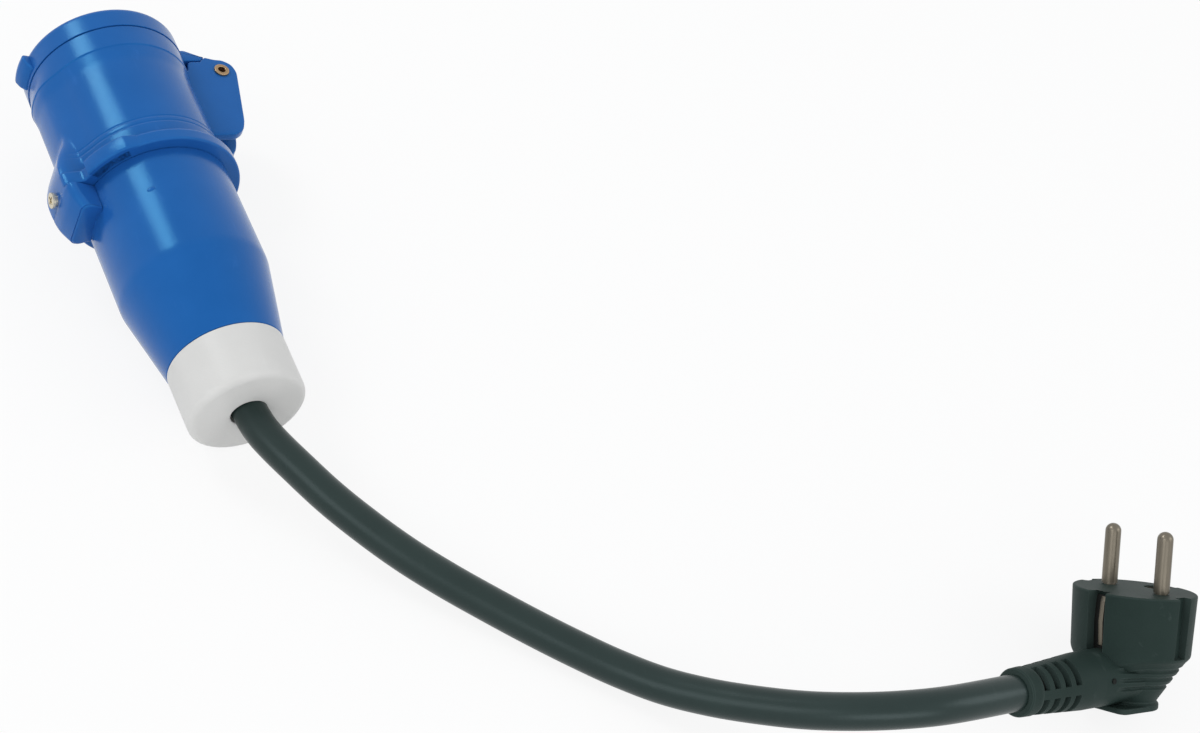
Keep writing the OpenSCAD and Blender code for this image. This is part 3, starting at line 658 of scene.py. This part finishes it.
lid_arm = rounded([
    (25.4, 142.0, 0.5), (26.4, 140.2, 0.4), (32.8, 136.8, 1.0), (35.0, 134.0, 1.2), (38.3, 133.2, 1.6),
    (41.2, 134.2, 1.5), (42.2, 137.1, 1.5), (41.2, 140.0, 1.5), (38.0, 142.2, 1.5), (35.2, 144.6, 0.6),
    (31.3, 146.4, 1.5), (25.4, 146.8, 0.8)])
arm_root = rounded([
    (24.0, 142.4, 0.2), (25.6, 142.4, 0.3), (26.4, 140.2, 0.4), (32.8, 136.8, 0.6), (33.4, 137.4, 0.3),
    (33.4, 144.4, 0.5), (31.3, 146.0, 0.8), (24.0, 146.4, 0.3)])


def swept(profile, first, last, ease, steps=5):
    """A closed profile in radius and height carried from one angle to another in degrees; its end rows shrink
    towards the profile's middle by ease (1 - sin q) while they turn the last ease (1 - cos q) of the way."""
    q = np.linspace(0, np.pi / 2, steps)
    turn_in = np.degrees(ease * (1 - np.cos(q[::-1])) / profile[:, 0].max())
    small = ease * (1 - np.sin(q[::-1])) / np.ptp(profile, axis=0).min() * 2
    between = np.linspace(first + 2, last - 2, 16)
    a = np.radians(np.concatenate([first + turn_in[::-1], between, last - turn_in]))
    k = 1 - np.concatenate([small[::-1], np.zeros(16), small])[:, None, None]
    middle = profile.mean(axis=0)
    flat = middle + k * (profile[None] - middle)
    r, z = flat[..., 0], flat[..., 1]
    return skin(on_coupler(np.stack([r * np.cos(a)[:, None], r * np.sin(a)[:, None], z], axis=-1)))


tab_profile = rounded([
    (24.9, 140.8, 0.2), (26.5, 140.8, 0.4), (28.0, 142.6, 1.0), (28.9, 145.2, 0.9), (28.3, 146.9, 0.8),
    (24.9, 146.9, 0.2)])
cap_profile = rounded([
    (0.02, 145, 0.0), (22.3, 145, 0.3), (22.3, 142, 0.2), (25.3, 142, 0.2), (25.3, 139.5, 0.2),
    (26.2, 139.5, 0.15), (26.2, 147.5, 2.6), (22.0, 147.5, 0.3), (21.2, 147.1, 0.3), (0.02, 147.1, 0.0)],
    closed=False)
web_outline = rounded([
    (23.8, 142.4, 0.2), (32.37, 142.4, 0.1), (33.19, 143.19, 0.4), (34.0, 143.8, 0.1), (27.9, 147.3, 0.8),
    (23.8, 147.3, 0.2)])
knuckle_hole = (hinge_middle, 1.86)
make_piece("lid_skin", [
    turned(cap_profile, closed=False),
    swept(tab_profile, 170.5, 193.5, 0.7),
    slab(lid_arm, 1.9, 3.5, 0.3, hole=knuckle_hole),
    slab(lid_arm, -3.5, -1.9, 0.3, hole=knuckle_hole),
    slab(arm_root, -2.2, 2.2, 0.1),
    slab(web_outline, -6.8, 6.8, 0.3),
    ], "lid", shell_blue, ["lid"])
paint_node("lid_gasket", seal_and_shade_rubber)


# Hinge pin and spring
# A hollow brass rivet through the ears and the lid's knuckles, its ends rolled over into eyelets.
# A torsion spring of steel wire round it keeps the lid shut.

eyelet_brass = moulded("eyelet_brass", (0.30, 0.19, 0.10), (0.46, 0.33, 0.20), (0.28, 0.42), 0.00001, 0.3,
                       metallic=1.0)
# Dark brown painted shade for the hollow of the rivet.
bore_shade_brown = moulded("bore_shade_brown", (0.035, 0.012, 0.004), (0.075, 0.028, 0.009), (0.5, 0.65), 0.00001)
spring_steel = moulded("spring_steel", (0.5, 0.5, 0.52), (0.62, 0.62, 0.64), (0.2, 0.3), 0.000005, 0.2,
                       metallic=1.0)


def on_hinge(p):
    """A part turned about the hinge pin: its z runs along the pin."""
    q = np.asarray(p, float)
    x, z = hinge_middle[0] + q[..., 0], hinge_middle[1] + q[..., 1]
    return on_coupler(np.stack([x, q[..., 2], z], axis=-1))


pin_outline = rounded([
    (1.3, -7.6, 0.25), (2.6, -7.6, 0.4), (2.6, -6.8, 0.1), (1.75, -6.8, 0.1), (1.75, 6.8, 0.1),
    (2.6, 6.8, 0.1), (2.6, 7.6, 0.4), (1.3, 7.6, 0.25)])
make_piece("hinge_pin_eyelet", [turned(pin_outline, 64, on_hinge)], "coupler", eyelet_brass,
           ["hinge_pin"])

# The bore of the rivet is painted dark brown as shade inside the hollow, and flares out where its ends are
# rolled over.
bore_outline = np.array([
    (1.2, -6.6), (1.75, -7.64), (1.65, -7.3), (1.35, -6.6), (1.35, 6.6), (1.65, 7.3), (1.75, 7.64),
    (1.2, 6.6)])
make_piece("hinge_pin_bore_shade", [turned(bore_outline, 64, on_hinge)], "coupler", bore_shade_brown,
           ["hinge_pin"])
paint_node("hinge_spring", spring_steel)


# Plug body
# A soft black moulding over the pins: a round insertion part with side notches and clip recesses, a tapered
# grip with ribs and a base ridge, and a slotted boot.

# Its scuffs and ridges are paler at a high share: partly wear, and partly a painted highlight along the rim
# of its face.
plug_black = moulded("plug_black", (0.013, 0.024, 0.021), (0.023, 0.039, 0.035), (0.5, 0.6), 0.00003, 0.6,
                     shine=(0.1, (0.85, 1.0, 0.97)))

# Columns lie closer together at the walls of the side notches and of the clips' recesses.
cut_edges = np.array([-9.4, -9.2, -8.4, -8.2, 8.2, 8.4, 9.2, 9.4])
all_cuts = [(cut_edges + quarter) % 360 for quarter in (0, 90, 180, 270)]
plug_degrees = np.unique(np.round(np.concatenate([np.linspace(0, 360, 240, endpoint=False)] + all_cuts), 4))
plug_a = np.radians(plug_degrees)
plug_round = np.stack([np.cos(plug_a), np.sin(plug_a)], axis=-1)
face_r, earth_r = 17.0, 3.3
plug_profile = finer(rounded([
    (face_r, 0, 0.0), (18.5, 0, 0.9), (17.8, -19, 1.0), (16.4, -20.5, 0.8), (8.7, -33.4, 0.7),
    (base_r, -34.2, 0.3), (base_r, -plug_len, 0.6), (0.02, -plug_len, 0.0)], 5, closed=False), 0.4)
plug_z = plug_profile[:, 1:]

# The notches at the two sides go in to radius 15.9, and the recesses of the clips to radius 14.2.
off_x = np.degrees(np.abs(np.arctan2(np.sin(2 * plug_a), np.cos(2 * plug_a)))) / 2
at_side = (np.abs(np.cos(plug_a)) > 0.45)[None, :]
plug_r = plug_profile[:, :1] + 0 * plug_a
plug_r = np.where(at_side & (off_x < 8.3)[None, :] & (plug_z > -18.4), np.minimum(plug_r, 15.9), plug_r)
plug_r = np.where(~at_side & (90 - off_x < 9.3)[None, :] & (plug_z > -17.8), np.minimum(plug_r, 14.2), plug_r)


def rib_gaps(z):
    """Depth of the gaps between the grip's ribs: 0.75 mm in their middles, one every 2.75 mm of height z."""
    turns = (z + 22.5) / 2.75
    apart = np.abs(turns - np.round(turns)) * 2.75
    return np.where((z < -21.2) & (z > -29.3), 0.75 * np.clip(1.3 - apart / 0.6, 0, 1), 0)


plug_r = plug_r - rib_gaps(plug_z) * np.clip((58 - off_x) / 4, 0, 1)[None, :] * at_side

# Towards the boot the lower edge of the round part dips by up to 3.4 mm.
off_boot = np.abs((plug_degrees - 270 + 180) % 360 - 180)
edge_dip = np.where(off_boot < 60, 3.4 * np.cos(np.radians(off_boot * 1.5)) ** 2, 0)[None, :]
dip_share = np.clip((-18.2 - plug_z) / 0.8, 0, 1) * np.clip((plug_z + 33) / 12, 0, 1)
dipped_z = plug_z - edge_dip * dip_share
plug_side = np.stack([plug_r * plug_round[:, 0], plug_r * plug_round[:, 1], dipped_z], axis=-1)

# The face is a family of circles from its rim to the mouth of the earth hole, and then down into the hole.
face_share = np.linspace(1, 0, 18, endpoint=False)[:, None, None]
earth_middle = np.array([0.0, 10.0])
face_flat = face_share * earth_middle + (face_r * (1 - face_share) + earth_r * face_share) * plug_round[None]
face_rows = np.concatenate([face_flat, np.zeros((18, len(plug_a), 1))], axis=-1)
hole_z = np.array([-16.8, -12.0, -6.0, -0.4])[:, None, None]
hole_flat = earth_middle + earth_r * plug_round[None] + 0 * hole_z
hole_rows = np.concatenate([hole_flat, hole_z + np.zeros((4, len(plug_a), 1))], axis=-1)
plug_grid = np.concatenate([hole_rows, face_rows, plug_side])

boot_dir = (boot_end - boot_root) / boot_len
boot_across = np.array([1.0, 0.0, 0.0])
boot_up = np.cross(boot_across, boot_dir)


def on_boot(p):
    """Points of the boot: x across it, y towards its underside, z along it from the body to its end."""
    q = np.asarray(p, float)
    return on_plug(boot_root + q[..., :1] * boot_across + q[..., 1:2] * boot_up + q[..., 2:] * boot_dir)


slot_z = boot_len - 6.2 - 4.4 * np.arange(4)
slot_rows = (slot_z[:, None] + np.array([-1.25, -1.15, 1.15, 1.25])).ravel()
boot_z = np.unique(np.round(np.concatenate([
    np.linspace(-9, boot_len - 0.7, 110), slot_rows, boot_len - np.array([0.45, 0.25, 0.1, 0.0])]), 3))
slot_edges = (np.array([45, 135, 225, 315])[:, None] + np.array([-34.5, -33.5, 33.5, 34.5])).ravel()
boot_deg = np.unique(np.round(np.concatenate([np.linspace(0, 360, 144, endpoint=False), slot_edges]), 3))
boot_a = np.radians(boot_deg)
boot_r = np.interp(
    boot_z - boot_len, [-9 - boot_len, -27, -4.6, -4.2, -0.7, -0.2, 0], [8.9, 8.6, 7.1, 7.3, 7.15, 6.8, 6.3])
in_slot = np.abs(boot_z[:, None, None] - slot_z[None, None, :]).min(axis=2) < 1.2
off_slot = np.degrees(np.abs(np.arctan2(np.sin(4 * boot_a + np.pi), np.cos(4 * boot_a + np.pi)))) / 4
boot_rr = np.where(in_slot & (off_slot < 34)[None, :], 5.2, boot_r[:, None])
boot_rows = boot_z[:, None] + 0 * boot_a
boot_grid = np.stack([boot_rr * np.cos(boot_a), boot_rr * np.sin(boot_a), boot_rows], axis=-1)

# The shoulder between the boot and the grip swells from the boot's circle to the grip's wedge.
swell = np.linspace(0, 1, 40)[:, None]
ease_in = eased(swell)
bow = np.linspace(0, 2 * np.pi, 360, endpoint=False)[None, :]
square = 2 / (2 + 0.9 * ease_in)
bow_x = np.sign(np.cos(bow)) * np.abs(np.cos(bow)) ** square
bow_z = np.sign(np.sin(bow)) * np.abs(np.sin(bow)) ** square
shoulder_low = -35.0 + 2.0 * ease_in
shoulder_high = -18.3 - 2.6 * ease_in
wide_low = 8.4 - 0.6 * ease_in
wide_high = 8.4 + 6.0 * ease_in
lift = (bow_z + 1) / 2
shoulder_y = -26.0 + 24.0 * swell + 0 * bow
shoulder_z = shoulder_low + (shoulder_high - shoulder_low) * lift
rib_in = rib_gaps(shoulder_z) * np.clip((shoulder_y + 17) / 3, 0, 1)
shoulder_x = bow_x * (wide_low + (wide_high - wide_low) * lift)
shoulder_grid = np.stack([shoulder_x - np.sign(bow_x) * rib_in, shoulder_y, shoulder_z], axis=-1)
base_q = np.radians(np.linspace(-90, 90, 40))
base_outline = np.vstack([
    np.column_stack([9.45 * np.sin(base_q), 9.45 * np.cos(base_q)]),
    rounded([(9.45, -2, 0.02), (9.45, -13.9, 3.0), (-9.45, -13.9, 3.0), (-9.45, -2, 0.02)], closed=False)])
plug_body = make_piece("plug_body_skin", [
    skin(on_plug(plug_grid)), skin(on_boot(boot_grid)), skin(on_plug(shoulder_grid)),
    slab(base_outline, -36.0, -34.2, 0.5, place=on_plug, lay=(0, 1, 2)),
    ], "coupler", plug_black, ["plug_body"])


def on_shoulder(p):
    """A small round part on the near side of the shoulder: its z points outwards along the plug's x."""
    q = np.asarray(p, float)
    return on_plug(np.stack([9.1 + q[..., 2], -18.9 + q[..., 0], -25.2 + q[..., 1]], axis=-1))


# A shallow cup for the small hole on the near side of the shoulder, in dark seal rubber as painted shade.
mark_profile = np.array([(0.02, 0.1), (0.5, 0.12), (0.75, 0.2), (0.85, 0.1), (0.85, -0.8), (0.02, -0.8)])
gate_hole_shade = make_piece("plug_gate_hole_shade", [turned(mark_profile, 24, on_shoulder, closed=False)], "coupler",
                       seal_and_shade_rubber, ["plug_body"])


# Plug pins, earth clips and earth socket
# Two solid round pins with domed tips and two sprung strips in the sides, all nickel plated. The strips are
# painted near-black as shade in their recesses, but for the bead along their middles, which rubs on the
# socket and is plain nickel.

nickel = moulded("nickel", (0.135, 0.12, 0.095), (0.21, 0.188, 0.15), (0.26, 0.4), 0.000006, 0.3,
                 metallic=1.0)
# Near-black nickel: painted shade on the clip strips in their recesses.
clip_shade_nickel = moulded("clip_shade_nickel", (0.02, 0.021, 0.02), (0.04, 0.041, 0.04), (0.45, 0.6), 0.00001, 0.2,
                      metallic=1.0)
tip_q = np.linspace(0, np.pi / 2, 12)
pin_tip = np.column_stack([0.02 + 2.38 * np.cos(tip_q[1:]), 16.6 + 2.4 * np.sin(tip_q[1:])])
pin_profile = np.vstack([[(0.02, -11), (2.0, -11), (2.0, 0.5), (2.4, 0.5), (2.4, 0.8), (2.4, 16.2)], pin_tip])
pin_off = 9.5
for label, x in (("left", -pin_off), ("right", pin_off)):
    pin_skin = turned(pin_profile, 48, lambda p, x=x: on_plug(np.asarray(p) + [x, 0, 0]), closed=False)
    make_piece(
        "pin_" + label, [pin_skin], "coupler", nickel, ["plug_pin_" + label])
paint_node("earth_socket", nickel)
strip_line = np.array([
    (14.25, -17.7), (14.8, -17.7), (15.4, -9.0), (15.1, -3.0), (14.8, -1.1), (14.25, -1.1)])
bead_line = np.array([
    (14.4, -17.4), (15.0, -16.4), (15.7, -9.0), (15.4, -3.0), (14.9, -1.5), (14.4, -1.5)])
for label, way in (("front", -1), ("back", 1)):
    for name, line, half, paint in (
            ("clip_", strip_line, 2.5, clip_shade_nickel), ("clip_bead_", bead_line, 0.8, nickel)):
        outline = rounded(np.column_stack([line * [way, 1], np.full(len(line), 0.15)]))
        make_piece(
            name + label, [slab(outline, -half, half, 0.12, place=on_plug, lay=(1, 2, 0))],
            "coupler", paint, ["earth_clip_" + label])
